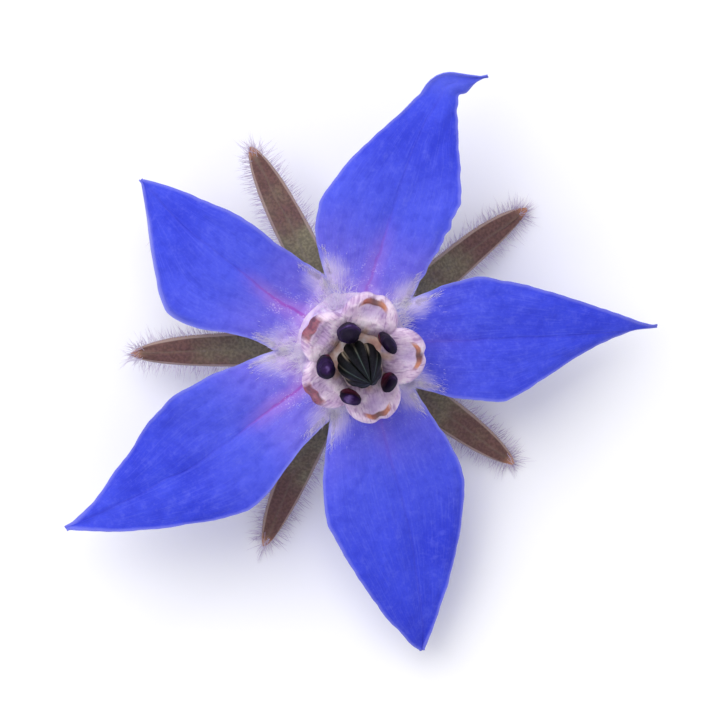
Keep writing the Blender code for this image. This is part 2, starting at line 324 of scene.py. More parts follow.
def petal_half_width(side, along, reach):
    """A petal's half width on one side, at a distance along it."""
    if along <= SINUS:
        return along * math.tan(STEP / 2)
    at_sinus = SINUS * math.tan(STEP / 2)
    if along <= side.at:
        grown = math.sin(math.pi / 2 * (along - SINUS) / (side.at - SINUS)) ** side.growth
        return at_sinus + (side.width - at_sinus) * grown
    past = (along - side.at) / (reach - side.at)
    return max(side.width * max(1 - past**TAPER_START, 0) ** side.taper, TIP_HALF_WIDTH)


def petal_point(index, petal, along, across):
    """A point of a petal's middle sheet in the flower's frame, and its plan: along, offset and margin."""
    seed = 10 * index
    out = max(along - SINUS, 0) / (petal.reach - SINUS)
    free = smoothly((along - PETAL_FOOT) / FLAT_FOOT)
    width = petal_half_width(petal.left if across > 0 else petal.right, along, petal.reach)
    edge = seed + (3 if across > 0 else 0)
    ragged = sum(
        deep * noise.noise(Vector((along * lumps, edge, layer)))
        for layer, (deep, lumps) in enumerate(RAGGED)
    )
    width += ragged * free * across**2 * (FOLDED_RAGGED if petal.fold and across < 0 else 1)
    offset = across * width
    lift = petal.arch * math.sin(math.pi * out) - petal.droop * out**2
    lift -= KEEL * (1 - abs(across)) ** 2 * free * (1 - out)
    lift += petal.twist * width * across * out
    lift += petal.wave * across**2 * math.sin(2 * math.pi * WAVES * out + WAVE_LAG * across) * free
    lift -= CREASE * math.exp(-((offset / CREASE_WIDTH) ** 2)) * free * (1 - CREASE_FADE * out)
    for deep, lengthwise, crosswise, shift in PUCKERS:
        lump = noise.noise(Vector((along * lengthwise, offset * crosswise, seed + shift)))
        lift += deep * lump * free
    tucked = smoothly((across - TUCK_FROM[1]) / TUCK_RUN[1]) ** 2
    lift -= petal.tuck * tucked * smoothly((along - TUCK_FROM[0]) / TUCK_RUN[0])
    point = Vector((along, petal.sway * out**petal.late + offset, lift))
    fold = petal.fold
    if fold:
        past = smoothly((along + FOLD_SLANT * (point.y - fold.across) - fold.along) / FOLD_RUN)
        pivot = Vector((fold.along, fold.across, lift))
        arm = Matrix.Rotation(fold.turn * past, 3, "Z") @ (point - pivot)
        far = max((point - pivot).length - FLAP_START, 0)
        point = pivot + arm + Vector((0, 0, fold.rise * past * far / FLAP_LENGTH))
        point.z -= FOLD_SINK * math.sin(math.pi * past)
    margin = min(max(width * (1 - abs(across)), 0), petal.reach - along)
    return Matrix.Rotation(around(index), 3, "Z") @ point, Vector((along, offset, margin))


def petal_blade(index, petal):
    """A petal as a grid that is bent to its form, with its plan kept for the finish."""
    bm = bmesh.new()
    bm.loops.layers.uv.new("UVMap")
    plan = bm.verts.layers.float_vector.new("plan")
    made = bmesh.ops.create_grid(
        bm, x_segments=PETAL_CELLS[0], y_segments=PETAL_CELLS[1], size=0.5, calc_uvs=True
    )
    for vert in made["verts"]:
        along = PETAL_ROOT + (petal.reach - PETAL_ROOT) * (vert.co.x + 0.5)
        vert.co, vert[plan] = petal_point(index, petal, along, math.sin(math.pi * vert.co.y))
    return bm


def petal_finish(name, petal, back):
    """Petal blue: long fine streaks, soft veins, a pale rim with painted highlight, a lilac foot and a rosy
    line on it.
    """
    skin = Finish(
        name, specular_ior_level=0.25, sheen_weight=0.04, sheen_roughness=0.4, subsurface_weight=0.1,
        subsurface_scale=0.3 * MM, subsurface_radius=(0.4, 0.4, 1.0),
    )
    along, offset, margin = skin.parts(skin.attribute("plan", "Vector"))
    fan = skin.node("ShaderNodeUVMap", {"uv_map": "UVMap"}, {})
    streaks, fine = skin.noise(fan, (7, 80, 1), 3), skin.noise(fan, (24, 220, 1), 2)
    clouds, mottle = skin.lumps(420, 3), skin.lumps(2600, 4)
    cells, sparks = skin.lumps(9000, 3), skin.lumps(17000, 1)
    middle = skin.step(along, 9.0, 5.2) * (0.3 + 0.7 * petal.light)
    low = skin.step(along + clouds * 1.2, 6.6, 3.6) * (0.12 + 0.88 * petal.light)
    near = skin.step(along + clouds * 2.0, 8.0, 3.6)
    spots = skin.step(cells + (mottle - 0.5) * 0.4, 0.46, 0.74) * (0.1 + 0.16 * near)
    rib = skin.step(abs(offset + (clouds - 0.5) * 0.5), 0.09, 0.02) * skin.step(along, 3.0, 5.5)
    haze = skin.step(along + clouds * 2.6, 6.9, 2.4) * skin.step(streaks + fine * 0.35, 0.42, 0.8)
    corner = ((along - SINUS) ** 2 + (abs(offset) - SINUS * math.tan(STEP / 2)) ** 2) ** 0.5
    white = skin.step(corner + fine * 0.8 + clouds * 0.4, 1.65 + 0.25 * petal.light, 0.8)
    ring = skin.step(along + clouds * 1.1 + fine * 0.5, 3.9, 2.6)
    rose = skin.fade(mottle, 0.4, 0.62, (188, 152, 214), (224, 200, 234))
    wander = offset + (clouds - 0.5) * 0.6 + (fine - 0.5) * 0.16
    blush = skin.step(abs(wander), 0.62, 0.06) * skin.step(along + fine, 6.4, 3.6)
    line = skin.step(abs(wander + (mottle - 0.5) * 0.12), 0.12, 0.02)
    line = line * skin.step(along + fine * 1.2, 6.6, 3.5)
    glint = skin.step(sparks + (mottle - 0.5) * 0.6, 0.62, 0.74) * skin.step(along + clouds * 2.0, 5.8, 3.4)
    foot = skin.step(abs(wander), 0.9, 0.3) * skin.step(along + clouds, 5.2, 4.0)
    # The pale rim: the edge's own paler tone, with painted highlight along it.
    rim = skin.step(margin + fine * 0.08, 0.2, 0.06)
    # Painted highlight: a pale strip along the tucked-under edge.
    if petal.tuck:
        crease = skin.step(offset, 0.5, 1.0) * skin.step(along, 5.0, 6.5)
        rim = rim + crease * skin.step(margin + fine * 0.1, 0.36, 0.16) * 0.8
    blue = skin.coats(
        skin.fade(clouds, 0.36, 0.66, (46, 60, 210), (58, 73, 221)),
        (middle, (82, 92, 226)),
        (low, (122, 108, 220)),
        (skin.step(streaks, 0.48, 0.75) * 0.3, (98, 108, 232)),
        (skin.step(fine, 0.52, 0.8) * 0.2, (44, 48, 182)),
        (spots, (126, 131, 240)),
        (skin.step(mottle, 0.5, 0.32) * 0.22, (34, 44, 186)),
        (skin.step(mottle, 0.54, 0.74) * 0.16, (112, 120, 236)),
        (rib * 0.16, (56, 52, 186)),
        (haze * (0.1 + 0.25 * petal.light), (150, 140, 226)),
        (white * 0.92, skin.mix(streaks, (180, 166, 224), (236, 226, 244))),
        (ring * (0.02 + 0.78 * petal.rosy), rose),
        (blush * 0.62 * petal.rosy, (176, 128, 216)),
        (line * 0.62 * petal.rosy, (156, 52, 178)),
        (glint * (0.12 + 0.16 * petal.light + 0.4 * foot * petal.rosy), (220, 208, 246)),
        (rim * 0.5, (142, 146, 236)),
    )
    # Painted highlight: the raised, folded flap is lighter.
    if petal.fold:
        flap = skin.step(along + offset * 0.12, petal.fold.along - 0.2, petal.fold.along + 0.25)
        blue = skin.mix(flap * 0.35, blue, (112, 124, 240))
    if back:
        net = skin.step(streaks, 0.62, 0.7) + skin.step(streaks, 0.4, 0.32)
        blue = skin.coats(blue, (0.3, (112, 116, 222)), (net * 0.2, (140, 142, 234)))
    skin.feed("Base Color", blue)
    skin.feed("Roughness", 0.5 + fine * 0.16 + cells * 0.1)
    relief = streaks * 0.4 + fine * 0.25 + cells * 0.3 + mottle * 0.35 - rib * 0.3
    skin.bump(relief, 0.05 * MM, 0.7)
    return skin.material


def walls(thick):
    """What gives a blade its two walls, thin at the edge, with the second finish on its back."""
    settings = {
        "thickness": thick, "offset": 0.0, "vertex_group": "body", "material_offset": 1,
        "material_offset_rim": 0,
    }
    return [("SOLIDIFY", settings)]


for number, petal in enumerate(PETALS):
    blade = petal_blade(number, petal)
    plan = blade.verts.layers.float_vector["plan"]
    thickness = [RIM_SHARE + (1 - RIM_SHARE) * smoothly(vert[plan].z / PETAL_RIM) for vert in blade.verts]
    finishes = [
        petal_finish(f"petal_{number + 1}_face", petal, False),
        petal_finish(f"petal_{number + 1}_back", petal, True),
    ]
    piece = settle(f"petal_{number + 1}_blade", blade, FLOWER, finishes, walls(PETAL_THICK), thickness)
    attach(piece, "root")
    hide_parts(f"petal_{number + 1}")


# Throat
# A short white tube, and five plump scales that close its mouth, each with a shallow hollow, a notch and
# a brown mark just inside its rim. Two of them are redder there, with the mark over the rim's outside.
Scale = namedtuple("Scale", "tip_out tip_up half_width lean outer")
SCALES = (
    Scale(2.7, 2.36, 1.12, 0, 0.0),
    Scale(2.64, 2.4, 1.12, 0, 0.0),
    Scale(2.4, 2.46, 1.1, 5, 1.0),
    Scale(2.42, 2.44, 1.1, 5, 1.0),
    Scale(2.7, 2.4, 1.12, 0, 0.0),
)
CUP_STEPS = 60
CUP = (
    (0.0, 1.3), (0.8, 1.7), (1.1, 1.98), (1.45, 2.02), (1.75, 1.85), (1.86, 1.55), (1.9, 1.1),
    (1.9, 0.7), (1.98, 0.38), (2.12, 0.17), (2.3, 0.04), (2.3, -0.12), (1.75, -0.2), (1.45, -0.4),
    (1.4, -0.95), (0.0, -0.95),
)
SCALE_ROOT = (1.0, 1.78)
SCALE_HALF_THICK = 0.38
SCALE_BACK = ((1.72, 1.1), (0.48, 0.98, 1.2))
BACK_SEGMENTS = (40, 24)
BACK_DENT = (0.16, 0.3, 0.35)
OFF_SCALE = -2
SCALE_FACE = math.radians(32)
SCALE_HOLLOW = 0.2
SCALE_FULL = 0.62
SCALE_FLARE = 1.05
SCALE_ARCH = 0.8
SCALE_NOTCH = 0.07
SCALE_NOTCH_WIDTH = 0.16
SCALE_SEGMENTS = (64, 40)
SCALE_LUMPS = ((0.035, 2.2), (0.018, 6))
DISH = 0.17
DISH_AT = 0.34
DISH_SIZE = 0.42
RIM_RISE = 0.07
RIM_AT = 0.86
RIM_WIDTH = 0.12
VOXEL = 0.045
SMOOTHINGS = 3


def ball(bm, segments):
    """The points of a ball of this many segments round and up, to be moved to a piece's form."""
    made = bmesh.ops.create_uvsphere(bm, u_segments=segments[0], v_segments=segments[1], radius=1.0)
    return made["verts"]


def scale_lobe(bm, plan, index, scale):
    """One throat scale: a plump lobe with a shallow hollow inside its notched rim, and its full back."""
    face = SCALE_FACE + math.radians(scale.lean)
    inward = Vector((-math.sin(face), 0, math.cos(face)))
    turn = Matrix.Rotation(around(index), 3, "Z")
    for vert in ball(bm, SCALE_SEGMENTS):
        along, across, through = vert.co
        vert[plan] = Vector((along, across, through))
        ring = math.hypot(along, across)
        share = (along + 1) / 2
        share -= SCALE_NOTCH * math.exp(-((across / SCALE_NOTCH_WIDTH) ** 2)) * share**4
        radius = SCALE_ROOT[0] + (scale.tip_out - SCALE_ROOT[0]) * share**SCALE_FLARE
        height = SCALE_ROOT[1] + (scale.tip_up - SCALE_ROOT[1]) * math.sin(math.pi / 2 * share) ** SCALE_ARCH
        middle = Vector((radius, across * scale.half_width, height))
        full = math.copysign(abs(through) ** SCALE_FULL, through)
        above = smoothly(through * 3)
        dished = DISH * math.exp(-((math.hypot(along - DISH_AT, across * 0.9) / DISH_SIZE) ** 2)) * above
        rim = RIM_RISE * math.exp(-(((ring - RIM_AT) / RIM_WIDTH) ** 2)) * smoothly(along * 2) * above
        rough = sum(
            deep * noise.noise(Vector((along * lumps, across * lumps, index * 5 + through)))
            for deep, lumps in SCALE_LUMPS
        )
        thick = SCALE_HALF_THICK * full - dished + rim + rough + SCALE_HOLLOW * across**2
        vert.co = turn @ (middle + inward * thick)
    (out, up), (deep, wide, tall) = SCALE_BACK
    sunk, broad, low = BACK_DENT
    for vert in ball(bm, BACK_SEGMENTS):
        vert[plan] = Vector((OFF_SCALE, vert.co.y, 0))
        dent = sunk * math.exp(-((vert.co.y / broad) ** 2) - ((vert.co.z + low) / low) ** 2)
        vert.co = turn @ Vector((out + deep * vert.co.x - dent, wide * vert.co.y, up + tall * vert.co.z))


def spun(bm, profile, steps):
    """A round closed form from its profile of radii and heights, spun about the flower's axis."""
    points = [bm.verts.new((radius, 0, height)) for radius, height in profile]
    edges = [bm.edges.new(pair) for pair in zip(points, points[1:])]
    bmesh.ops.spin(bm, geom=points + edges, axis=(0, 0, 1), angle=2 * math.pi, steps=steps, use_merge=True)
    bmesh.ops.remove_doubles(bm, verts=bm.verts[:], dist=0.001)


def throat_form():
    """The cup, spun, and the five scales on it, as overlapping closed forms of triangles."""
    bm = bmesh.new()
    plan = bm.verts.layers.float_vector.new("scale_plan")
    spun(bm, CUP, CUP_STEPS)
    for vert in bm.verts:
        vert[plan] = Vector((OFF_SCALE, 0, 0))
    bmesh.ops.recalc_face_normals(bm, faces=bm.faces[:])
    for index, scale in enumerate(SCALES):
        scale_lobe(bm, plan, index, scale)
    bmesh.ops.triangulate(bm, faces=bm.faces[:])
    return bm


def keep_scale_plan(mesh, form):
    """Carry each point's place on its scale, from -1 to 1 up it, across it and through it, to the mesh."""
    mesh.attributes.new("scale_plan", "FLOAT_VECTOR", "POINT")
    mesh.attributes.new("outer_mark", "FLOAT", "POINT")
    plan, outer = mesh.attributes["scale_plan"], mesh.attributes["outer_mark"]
    form.faces.ensure_lookup_table()
    layer = form.verts.layers.float_vector["scale_plan"]
    nearest = BVHTree.FromBMesh(form)
    for vert in mesh.vertices:
        spot, _, face, _ = nearest.find_nearest(vert.co)
        corners = form.faces[face].verts
        places = [corner.co for corner in corners] + [corner[layer] for corner in corners]
        plan.data[vert.index].vector = barycentric_transform(spot, *places)
        index = round((math.atan2(vert.co.y, vert.co.x) - TURN) / STEP) % COUNT
        outer.data[vert.index].value = SCALES[index].outer


def throat_finish():
    """White, painted lilac shade in hollows and folds, brown marks inside the rims, peach creases at the
    middle.
    """
    skin = Finish(
        "throat_white", specular_ior_level=0.35, subsurface_weight=0.3, subsurface_scale=0.4 * MM,
        subsurface_radius=(1.0, 0.75, 0.9),
    )
    along, across, through = skin.parts(skin.attribute("scale_plan", "Vector"))
    outer = skin.attribute("outer_mark")
    clouds, blots, grain = skin.lumps(1300, 3), skin.lumps(3200, 3), skin.lumps(8500, 2)
    # Fine radial folds, used for relief and for painted shade along them.
    shaded_folds = skin.noise(skin.joined(along, across, 0.0), (2.2, 13.0, 1.0), 3)
    # Painted shade: lilac in each scale's hollow, less of it on the two redder scales.
    hollow = skin.step(((along - 0.36) ** 2 + across**2) ** 0.5 + clouds * 0.5, 0.85, 0.4)
    hollow = hollow * skin.step(through, 0.0, 0.3) * (0.55 - outer * 0.35)
    wall = skin.step(through, 0.15, -0.45) * skin.step(along, -1.6, -1.0)
    collar = skin.step(along, -1.1, -1.6)
    grooves = skin.noise(skin.joined(across, skin.parts(skin.place)[2] * 60.0, 0.0), (9.0, 3.0, 1.0), 3)
    grooves = grooves + (blots - 0.5) * 0.4
    flush = skin.fade(grooves, 0.36, 0.66, (204, 174, 218), (234, 218, 240))
    bow = (along**2 + across**2) ** 0.5 + (clouds - 0.5) * 0.12 + (grain - 0.5) * 0.05
    side = abs(across + (clouds - 0.5) * 0.16)
    arc = along + side * side * 1.1 + (blots - 0.5) * 0.1
    mark = skin.step(arc, 0.68, 0.8) * skin.step(arc, 1.02, 0.95) * skin.step(side, 0.56, 0.36)
    mark = mark * skin.step(through, -0.35, 0.1)
    bend = bow - side * side * 0.36
    patch = skin.step(bend + (blots - 0.5) * 0.12, 0.74, 0.88) * skin.step(along, 0.3, 0.5)
    patch = patch * skin.step(side + (grain - 0.5) * 0.1, 0.6, 0.34) * skin.step(through, -0.9, -0.45)
    tawny = skin.fade(blots, 0.38, 0.62, (148, 74, 46), (196, 122, 84))
    brown = skin.fade(side, 0.0, 0.36, (84, 32, 20), tawny)
    brick = skin.fade(blots + (grain - 0.5) * 0.4, 0.34, 0.66, (78, 20, 34), (142, 60, 72))
    crease = skin.step(abs(across) + (clouds - 0.5) * 0.2, 0.2, 0.02)
    crease = crease * skin.step(along + clouds * 0.4, 0.1, -0.5)
    white = skin.coats(
        skin.fade(clouds, 0.36, 0.66, (206, 178, 212), (237, 217, 234)),
        (skin.step(blots, 0.5, 0.72) * 0.4, (249, 238, 246)),
        (skin.step(blots, 0.5, 0.32) * 0.5, (184, 150, 192)),
        # Painted shade: darker lilac along the folds.
        (skin.step(shaded_folds + (clouds - 0.5) * 0.5, 0.5, 0.3) * 0.7, (158, 122, 172)),
        # Painted shade in the hollows.
        (hollow, (172, 146, 206)),
        (wall * 0.6, (196, 166, 212)),
        (collar, flush),
        (mark * (1 - outer) * 0.9, brown),
        (patch * outer * 0.85, brick),
        (crease * (1 - collar) * 0.75, (230, 190, 168)),
    )
    skin.feed("Base Color", white)
    skin.feed("Roughness", 0.42 + grain * 0.25)
    skin.bump(clouds * 0.3 + blots * 0.35 + shaded_folds * 0.3 + grain * 0.2, 0.14 * MM, 0.9)
    return skin.material


lobes = throat_form()
throat = settle(
    "throat_and_scales",
    lobes.copy(),
    Matrix.Scale(1 / MM, 4),
    [throat_finish()],
    [
        ("REMESH", {"mode": "VOXEL", "voxel_size": VOXEL}),
        ("SMOOTH", {"factor": 0.5, "iterations": SMOOTHINGS}),
    ],
)
keep_scale_plan(throat.data, lobes)
lobes.free()
throat.data.transform(FLOWER @ Matrix.Scale(MM, 4))
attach(throat, "root")
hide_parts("throat")


# Down on the throat and the petals' foot
# Fine white hairs round the scales, most of them where two petals meet. Each is a slim spindle with its
# root sunk in.
DOWN_PER_SINUS = (700, 700, 800, 1100, 700)
DOWN_ON_PETAL = 560
DOWN_SPREAD = 8
DOWN_RING = (1.9, 2.9)
DOWN_EDGE = 0.93
WALL_TOP = 1.4
WALL_FOOT = (2.45, 0.05)
WALL_SLOPE = 3.0
PETAL_TOP = 0.09
HAIR_SEGMENTS = (3, 4)
HAIR_TAPER = 1.25
HAIR_SUNK = 0.06
HAIR_BATCH = 40
WALL_HAIR = (0.2, 0.45, 0.0085)
PETAL_HAIR = (0.14, 0.36, 0.0065)
Hair = namedtuple("Hair", "root direction length thick bend")


def add_hair(bm, hair):
    """One hair: a three-sided spindle from its root along a direction, bent by a vector at its tip."""
    side = hair.direction.orthogonal().normalized()
    other = hair.direction.cross(side)
    for vert in ball(bm, HAIR_SEGMENTS):
        share = (vert.co.z + 1) / 2
        spread = (side * vert.co.x + other * vert.co.y) * hair.thick * (HAIR_TAPER - share)
        reach = hair.direction * (share - HAIR_SUNK) + hair.bend * share**2
        vert.co = hair.root + reach * hair.length + spread


def hair_form(hairs):
    """All the hairs as one mesh, made a few at a time because a large mesh is slow to add to."""
    whole = bmesh.new()
    few = bpy.data.meshes.new("few_hairs")
    for start in range(0, len(hairs), HAIR_BATCH):
        batch = bmesh.new()
        for hair in hairs[start : start + HAIR_BATCH]:
            add_hair(batch, hair)
        batch.to_mesh(few)
        batch.free()
        whole.from_mesh(few)
    bpy.data.meshes.remove(few)
    return whole


def hair_finish(name, root_colour, tip_colour):
    """Pale hair, a little darker in places."""
    skin = Finish(name, roughness=0.4)
    shade = skin.lumps(2500, 1)
    skin.feed("Base Color", skin.fade(shade, 0.35, 0.7, root_colour, tip_colour))
    return skin.material


def throat_down():
    """Hairs on the throat's wall in each sinus, and on the petals beside it."""
    hairs = []
    *wall_length, wall_thick = WALL_HAIR
    *petal_length, petal_thick = PETAL_HAIR
    for index in range(COUNT):
        for _ in range(DOWN_PER_SINUS[index]):
            turn = around(index + 0.5) + math.radians(draw.gauss(0, DOWN_SPREAD))
            radius = draw.uniform(*DOWN_RING)
            height = min(WALL_TOP, WALL_FOOT[1] + max(WALL_FOOT[0] - radius, 0) * WALL_SLOPE)
            out = Vector((math.cos(turn), math.sin(turn), 0))
            rough = Vector((draw.gauss(0, 0.35), draw.gauss(0, 0.35), draw.uniform(0.0, 0.6)))
            bend = Vector((draw.gauss(0, 0.4), draw.gauss(0, 0.4), -0.2))
            root = out * radius + Vector((0, 0, height))
            direction = (out + rough).normalized()
            hairs.append(Hair(root, direction, draw.uniform(*wall_length), wall_thick, bend))
        petal = PETALS[index]
        for _ in range(DOWN_ON_PETAL):
            along = SINUS + 0.1 + draw.random() ** 2
            across = draw.choice((-1, 1)) * max(DOWN_EDGE - abs(draw.gauss(0, 0.2)), 0.1)
            root = petal_point(index, petal, along, across)[0] + Vector((0, 0, PETAL_TOP))
            rough = Vector((draw.gauss(0, 0.2), draw.gauss(0, 0.2), draw.uniform(0.1, 0.5)))
            bend = Vector((draw.gauss(0, 0.12), draw.gauss(0, 0.12), -0.15))
            direction = (root.normalized() + rough).normalized()
            hairs.append(Hair(root, direction, draw.uniform(*petal_length), petal_thick, bend))
    return hairs


draw = random.Random(11)
white_down = hair_finish("white_down", (222, 212, 240), (246, 240, 252))
down = settle("throat_down", hair_form(throat_down()), FLOWER, [white_down])
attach(down, "root")


# Stamens
# Five short filaments grow from a low ring, peach at the foot. Each carries a dark violet flap, the horn,
# that stands upright outside its anther.
RING_STEPS = 40
RING = ((0.0, 1.95), (0.85, 2.02), (1.12, 2.0), (1.3, 1.8), (1.26, 1.2), (0.0, 1.1))
HORN_PATH = ((0.9, 1.05), (1.12, 1.45), (1.3, 2.0), (1.38, 2.7), (1.39, 3.3), (1.36, 3.75), (1.33, 4.0))
HORN_THIN = (0.001, 0.2, 0.21, 0.23, 0.26, 0.21, 0.001)
HORN_WIDE = (0.001, 0.3, 0.36, 0.41, 0.44, 0.34, 0.001)
HORN_MIDDLE = 1.33
HORN_HALF = 0.26
HORN_LUMPS = 0.14
HORN_CELLS = (30, 24)
TUBE_AHEAD = 0.03
TUBE_SEAM = 0.003
STAMENS = FLOWER @ Matrix.Translation((0.00003, -0.00014, 0))
Horn = namedtuple("Horn", "thin wide tall")
HORNS = (
    Horn(1.0, 1.0, 1.0), Horn(1.35, 1.08, 1.0), Horn(1.42, 1.0, 1.0), Horn(0.95, 1.0, 0.9),
    Horn(0.86, 0.9, 0.92),
)


def spaced(values, share):
    """The value at a share along a list, on straight runs between its entries."""
    place = share * (len(values) - 1)
    index = min(int(place), len(values) - 2)
    before, after = values[index], values[index + 1]
    return before + (after - before) * (place - index)


def heading(route, share, reach):
    """The way that a route goes at a share along it, from two places this far either side."""
    return spaced(route, min(share + reach, 1.0)) - spaced(route, max(share - reach, 0.0))


def tube_form(bm, route, cells, across, widths):
    """A tube round a route: a grid wrapped round it, with its seam and any pointed end merged.

    across is the direction of the tube's wide side, and widths gives the thin and the wide half."""
    made = bmesh.ops.create_grid(bm, x_segments=cells[0], y_segments=cells[1], size=0.5)
    for vert in made["verts"]:
        share = vert.co.x + 0.5
        turn = 2 * math.pi * vert.co.y
        ahead = heading(route, share, TUBE_AHEAD)
        thin_way = ahead.cross(across).normalized()
        wide_way = ahead.cross(thin_way).normalized()
        thin, wide = widths(share, turn)
        vert.co = spaced(route, share) + thin_way * math.cos(turn) * thin + wide_way * math.sin(turn) * wide
    bmesh.ops.remove_doubles(bm, verts=made["verts"], dist=TUBE_SEAM)


def smooth_route(points, steps=5):
    """Points on a smooth curve through the given ones."""
    route = []
    for index in range(len(points) - 1):
        start, end = points[index], points[index + 1]
        before, after = points[max(index - 1, 0)], points[min(index + 2, len(points) - 1)]
        out, into = start + (end - before) / 6, end - (after - start) / 6
        route += interpolate_bezier(start, out, into, end, steps + 1)[:-1]
    return route + [points[-1]]


def horn_form():
    """The ring of filaments and the five horns on it."""
    bm = bmesh.new()
    spun(bm, RING, RING_STEPS)
    for index in range(COUNT):
        turn = Matrix.Rotation(around(index + 0.5), 3, "Z")
        horn = HORNS[index]
        foot = HORN_PATH[0][1]
        route = smooth_route([turn @ Vector((r, 0, foot + (z - foot) * horn.tall)) for r, z in HORN_PATH])

        def widths(share, angle, horn=horn, seed=index * 9):
            lump = noise.noise(Vector((share * 5, 1.3 * math.cos(angle), seed + math.sin(angle))))
            rough = 1 + HORN_LUMPS * lump
            return spaced(HORN_THIN, share) * rough * horn.thin, spaced(HORN_WIDE, share) * rough * horn.wide

        tube_form(bm, route, HORN_CELLS, turn @ Vector((0, 1, 0)), widths)
    bmesh.ops.recalc_face_normals(bm, faces=bm.faces[:])
    return bm


def horn_finish():
    """Peach at the foot, wine red above it, then dark violet with paler patches of painted sheen."""
    skin = Finish("horn_violet", specular_ior_level=0.16)
    height, inner = skin.attribute("height"), skin.attribute("inner")
    clouds = skin.noise(skin.place, (1300, 1300, 2200), 3)
    grain = skin.lumps(7000, 2)
    wine = skin.fade(clouds, 0.4, 0.62, (84, 14, 40), (132, 38, 84))
    dark = skin.fade(clouds, 0.42, 0.66, (17, 4, 32), (42, 14, 68))
    # Painted sheen: paler lilac patches over the dark violet.
    dark = skin.mix(skin.step(clouds, 0.6, 0.72) * 0.6, dark, (110, 88, 146))
    colour = skin.coats(
        skin.fade(clouds, 0.4, 0.65, (244, 230, 234), (238, 200, 180)),
        (skin.step(height + clouds * 0.5, 2.22, 2.5), wine),
        (skin.step(height + clouds * 1.2 - inner * 0.9, 2.8, 3.6), dark),
    )
    skin.feed("Base Color", colour)
    skin.feed("Roughness", 0.48 + grain * 0.3)
    skin.bump(clouds * 0.6 + grain * 0.4, 0.08 * MM, 0.8)
    return skin.material


horns = settle("filaments_and_horns", horn_form(), Matrix.Identity(4), [horn_finish()])
heights = [vert.co.z / MM for vert in horns.data.vertices]
inners = [(HORN_MIDDLE - vert.co.xy.length / MM) / HORN_HALF for vert in horns.data.vertices]
for name, values in (("height", heights), ("inner", inners)):
    horns.data.attributes.new(name, "FLOAT", "POINT").data.foreach_set("value", values)
horns.data.transform(STAMENS)
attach(horns, "root")
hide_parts("stamen_horns")


# Anthers
# Five black-green anthers close into a pointed cone. Each has a pale line down its middle, and a cream
# edge shows at the foot where two of them meet.
CONE_FOOT = 1.45
CONE_TOP = 6.7
CONE_RADIUS = 0.9
CONE_SWELL = 0.5
CONE_ROUND = 0.8
ANTHER_SEGMENTS = (36, 48)
ANTHER_PART = 0.035
ANTHER_UNEVEN = 0.12
ANTHER_GROOVE = (0.13, 0.1)
ANTHER_EDGE = 0.1
ANTHER_HEART = 0.12
ANTHER_FULL = 0.35


def anther_form():
    """Five anthers round the axis, each a wedge of the cone with a grooved outer face."""
    bm = bmesh.new()
    plan = bm.verts.layers.float_vector.new("anther_plan")
    for index in range(COUNT):
        top = CONE_TOP - ANTHER_UNEVEN * (index % 2)
        for vert in ball(bm, ANTHER_SEGMENTS):
            share = (vert.co.z + 1) / 2
            swell = max(math.sin(math.pi * share**CONE_SWELL), 0) ** CONE_ROUND
            radius = CONE_RADIUS * swell
            angle = math.atan2(vert.co.y, vert.co.x)
            spread = math.sin(angle) * (STEP / 2)
            reach = ANTHER_HEART + (1 - ANTHER_HEART) * abs(math.cos(angle / 2)) ** ANTHER_FULL
            deep, wide = ANTHER_GROOVE
            groove = 1 - deep * math.exp(-((spread / wide) ** 2)) * max(math.cos(angle), 0.0)
            edge = 1 - ANTHER_EDGE * (abs(spread) / (STEP / 2)) ** 3
            turn = around(index + 0.5) + spread * (1 - ANTHER_PART / max(radius, 0.1))
            full = radius * reach * groove * edge
            vert[plan] = Vector((share, spread, index))
            vert.co = Vector((
                math.cos(turn) * full, math.sin(turn) * full, CONE_FOOT + (top - CONE_FOOT) * share
            ))
    bmesh.ops.recalc_face_normals(bm, faces=bm.faces[:])
    return bm


def anther_finish():
    """Black green, dusted, with a pale line down each anther and cream at the foot of the seams."""
    skin = Finish("anther_black", specular_ior_level=0.12)
    share, spread, _ = skin.parts(skin.attribute("anther_plan", "Vector"))
    clouds = skin.noise(skin.place, (1800, 1800, 700), 3)
    grain = skin.noise(skin.place, (8000, 8000, 3000), 2)
    line = skin.step(abs(spread + (grain - 0.5) * 0.04), 0.06, 0.02) * skin.step(share, 0.12, 0.3)
    seam = skin.step(abs(spread), 0.52, 0.59) * skin.step(share, 0.55, 0.25)
    dark = skin.coats(
        skin.fade(clouds, 0.38, 0.66, (4, 3, 5), (11, 17, 17)),
        (skin.step(share, 0.22, 0.05) * 0.8, (36, 14, 20)),
        (line * 0.5, skin.fade(share, 0.3, 0.6, (140, 134, 118), (88, 106, 100))),
        (seam * 0.8, (176, 162, 142)),
    )
    skin.feed("Base Color", dark)
    skin.feed("Roughness", 0.5 + grain * 0.3)
    skin.bump(clouds * 0.5 + grain * 0.5, 0.05 * MM, 0.6)
    return skin.material


anthers = settle("anthers", anther_form(), STAMENS, [anther_finish()])
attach(anthers, "root")
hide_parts("anther_cone")


